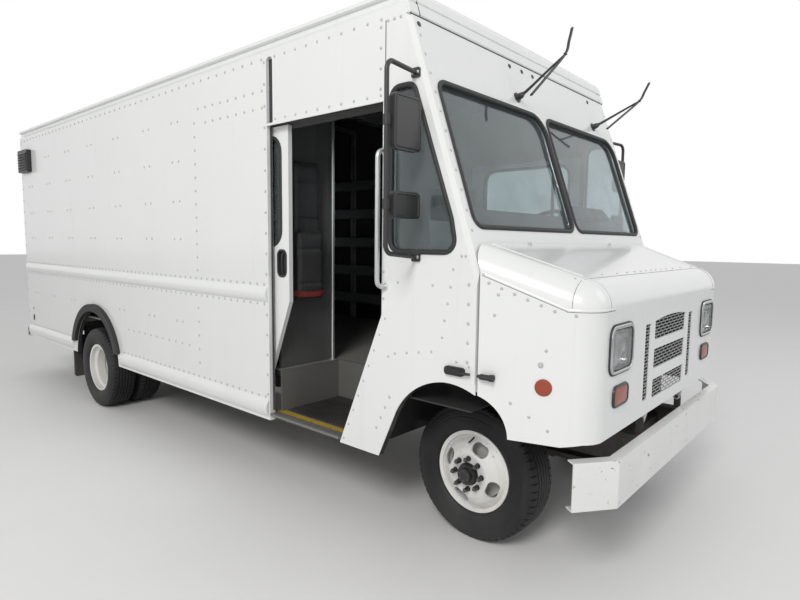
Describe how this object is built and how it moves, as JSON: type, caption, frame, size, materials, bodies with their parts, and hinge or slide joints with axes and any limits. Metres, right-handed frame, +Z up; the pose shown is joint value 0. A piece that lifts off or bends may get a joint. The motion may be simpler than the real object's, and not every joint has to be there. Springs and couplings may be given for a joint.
{
  "type": "walk-in step van",
  "caption": "White walk-in delivery step van with a tilting nose, sliding cab doors, hinged rear doors, steered front wheels and twin rear wheels.",
  "frame": {"origin": "on the ground under the middle of the van", "axes": "+Z up, the front of the van faces -Y, its left side is +X"},
  "size_m": [2.792, 6.9, 2.8359],
  "materials": {
    "body_white": "gloss white paint",
    "wheel_white": "white painted steel wheel",
    "tyre_rubber": "black tyre rubber",
    "chassis_black": "black chassis paint",
    "engine_grey": "dark cast iron",
    "steel": "dull exhaust steel",
    "aluminium": "mill finish aluminium",
    "interior_grey": "grey interior panel",
    "black_plastic": "satin black",
    "seat_black": "black vinyl",
    "black_rubber": "black rubber",
    "tinted_glass": "lightly tinted glass",
    "chrome": "polished bezel",
    "lamp_lens": "clear fluted lens",
    "mirror_glass": "mirror",
    "grab_steel": "white painted tube",
    "amber_lens": "amber lens",
    "red_lens": "red lens"
  },
  "bodies": {
    "van_body": {"side_wall_right": "body_white", "side_wall_left": "body_white", "roof": "body_white", "cab_front": "body_white", "cab_side_right": "body_white", "cab_side_left": "body_white", "door_headers": "body_white", "rear_frame": "body_white", "front_bumper": "body_white", "rear_bumper": "body_white", "rub_rails": "body_white", "chassis_frame": "chassis_black", "front_axle": "chassis_black", "rear_axle": "chassis_black", "radiator": "chassis_black", "fuel_tank": "chassis_black", "engine_block": "engine_grey", "exhaust": "steel", "step_wells": "aluminium", "floor": "aluminium", "bulkhead": "interior_grey", "engine_cover": "interior_grey", "dashboard": "interior_grey", "steering_wheel": "black_plastic", "seat_base": "black_plastic", "side_vent": "black_plastic", "mirror_right": "black_plastic", "mirror_left": "black_plastic", "wipers": "black_plastic", "driver_seat": "seat_black", "jump_seat": "seat_black", "fender_flares": "black_rubber", "mud_flaps": "black_rubber", "cab_glass": "tinted_glass", "mirror_glasses": "mirror_glass", "grab_handles": "grab_steel", "tail_lamps": "red_lens"},
    "hood": {"hood_shell": "body_white", "grille": "body_white", "headlamps": "chrome", "headlamp_lenses": "lamp_lens", "marker_lamps": "amber_lens"},
    "right_cab_door": {"door_right": "body_white", "door_glass_right": "tinted_glass"},
    "left_cab_door": {"door_left": "body_white", "door_glass_left": "tinted_glass"},
    "right_rear_door": {"rear_door_right": "body_white", "rear_door_glass_right": "tinted_glass"},
    "left_rear_door": {"rear_door_left": "body_white", "rear_door_glass_left": "tinted_glass"},
    "right_knuckle": {"knuckle_right": "chassis_black"},
    "left_knuckle": {"knuckle_left": "chassis_black"},
    "right_front_wheel": {"front_wheel_right": "wheel_white", "front_tyre_right": "tyre_rubber"},
    "left_front_wheel": {"front_wheel_left": "wheel_white", "front_tyre_left": "tyre_rubber"},
    "right_rear_wheels": {"rear_wheel_right": "wheel_white", "rear_tyres_right": "tyre_rubber"},
    "left_rear_wheels": {"rear_wheel_left": "wheel_white", "rear_tyres_left": "tyre_rubber"}
  },
  "joints": [
    {"name": "hood_tilt", "type": "hinge", "parent": "van_body", "child": "hood", "pos_m": [0, -3.35, 0.7], "axis": [1, 0, 0], "range_deg": [0, 55]},
    {"name": "right_cab_door_slide", "type": "slide", "parent": "van_body", "child": "right_cab_door", "axis": [0, -1, 0], "range_m": [0, 0.83]},
    {"name": "left_cab_door_slide", "type": "slide", "parent": "van_body", "child": "left_cab_door", "axis": [0, 1, 0], "range_m": [0, 0.83]},
    {"name": "right_rear_door_swing", "type": "hinge", "parent": "van_body", "child": "right_rear_door", "pos_m": [-0.985, 3.355, 1.6], "axis": [0, 0, 1], "range_deg": [0, 170]},
    {"name": "left_rear_door_swing", "type": "hinge", "parent": "van_body", "child": "left_rear_door", "pos_m": [0.985, 3.355, 1.6], "axis": [0, 0, -1], "range_deg": [0, 170]},
    {"name": "right_steer", "type": "hinge", "parent": "van_body", "child": "right_knuckle", "pos_m": [-0.62, -2.65, 0.372], "axis": [0, 0, 1], "range_deg": [-32, 32]},
    {"name": "left_steer", "type": "hinge", "parent": "van_body", "child": "left_knuckle", "pos_m": [0.62, -2.65, 0.372], "axis": [0, 0, 1], "range_deg": [-32, 32]},
    {"name": "right_front_spin", "type": "hinge", "parent": "right_knuckle", "child": "right_front_wheel", "pos_m": [-0.689, -2.65, 0.372], "axis": [1, 0, 0], "continuous": true},
    {"name": "left_front_spin", "type": "hinge", "parent": "left_knuckle", "child": "left_front_wheel", "pos_m": [0.689, -2.65, 0.372], "axis": [1, 0, 0], "continuous": true},
    {"name": "right_rear_spin", "type": "hinge", "parent": "van_body", "child": "right_rear_wheels", "pos_m": [-0.922, 1.35, 0.372], "axis": [1, 0, 0], "continuous": true},
    {"name": "left_rear_spin", "type": "hinge", "parent": "van_body", "child": "left_rear_wheels", "pos_m": [0.922, 1.35, 0.372], "axis": [1, 0, 0], "continuous": true}
  ],
  "couplings": [
    {"joint": "left_steer", "follows": "right_steer", "ratio": 1}
  ]
}
